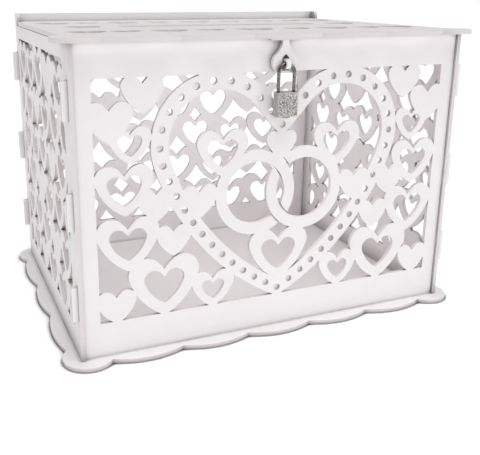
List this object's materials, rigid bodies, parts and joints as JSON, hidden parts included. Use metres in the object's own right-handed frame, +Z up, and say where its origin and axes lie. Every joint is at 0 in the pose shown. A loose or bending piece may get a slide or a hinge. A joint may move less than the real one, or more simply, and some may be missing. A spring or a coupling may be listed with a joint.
{
  "type": "wedding card box",
  "caption": "White pierced card box with scalloped base and hinged lid, heart fretwork walls, card slot, hasp and a small padlock that opens.",
  "frame": {"origin": "middle of the underside of the base plate", "axes": "+X to the right seen from the front, +Y to the rear, +Z up"},
  "size_m": [0.3122, 0.2362, 0.2196],
  "materials": {
    "white_board": "matte foamed sheet with clean cut edges",
    "case_nickel": "satin antique nickel",
    "hammered_plate": "hammered, sparkling",
    "shackle_steel": "polished wire",
    "plug_brass": "turned"
  },
  "bodies": {
    "box": {"base_plate": "white_board", "left_panel": "white_board", "right_panel": "white_board", "front_panel": "white_board", "back_panel": "white_board", "staple": "white_board"},
    "lid": {"lid_panel": "white_board", "hasp_tab": "white_board"},
    "shackle": {"padlock_shackle": "shackle_steel"},
    "case": {"padlock_case": "case_nickel", "padlock_face": "hammered_plate", "padlock_back": "hammered_plate", "plug_retainer": "plug_brass"},
    "plug": {"key_plug": "plug_brass"},
    "bolt": {"locking_bolt": "plug_brass"}
  },
  "joints": [
    {"name": "lid_hinge", "type": "hinge", "parent": "box", "child": "lid", "pos_m": [0, 0.0987, 0.2115], "axis": [-1, 0, 0], "range_deg": [0, 104]},
    {"name": "padlock_swing", "type": "hinge", "parent": "box", "child": "shackle", "pos_m": [-0.002, -0.1127, 0.19355], "axis": [-1, 0, 0], "range_deg": [0, 80]},
    {"name": "case_drop", "type": "slide", "parent": "shackle", "child": "case", "axis": [0, 0, -1], "range_m": [0, 0.005]},
    {"name": "key_turn", "type": "hinge", "parent": "case", "child": "plug", "pos_m": [-0.002, -0.1127, 0.1589], "axis": [0, 0, 1], "range_deg": [0, 90]},
    {"name": "bolt_slide", "type": "slide", "parent": "case", "child": "bolt", "axis": [-1, 0, 0], "range_m": [0, 0.002]}
  ],
  "couplings": [
    {"joint": "key_turn", "follows": "case_drop", "rad_per_m": 314.16},
    {"joint": "bolt_slide", "follows": "case_drop", "ratio": 0.4}
  ]
}
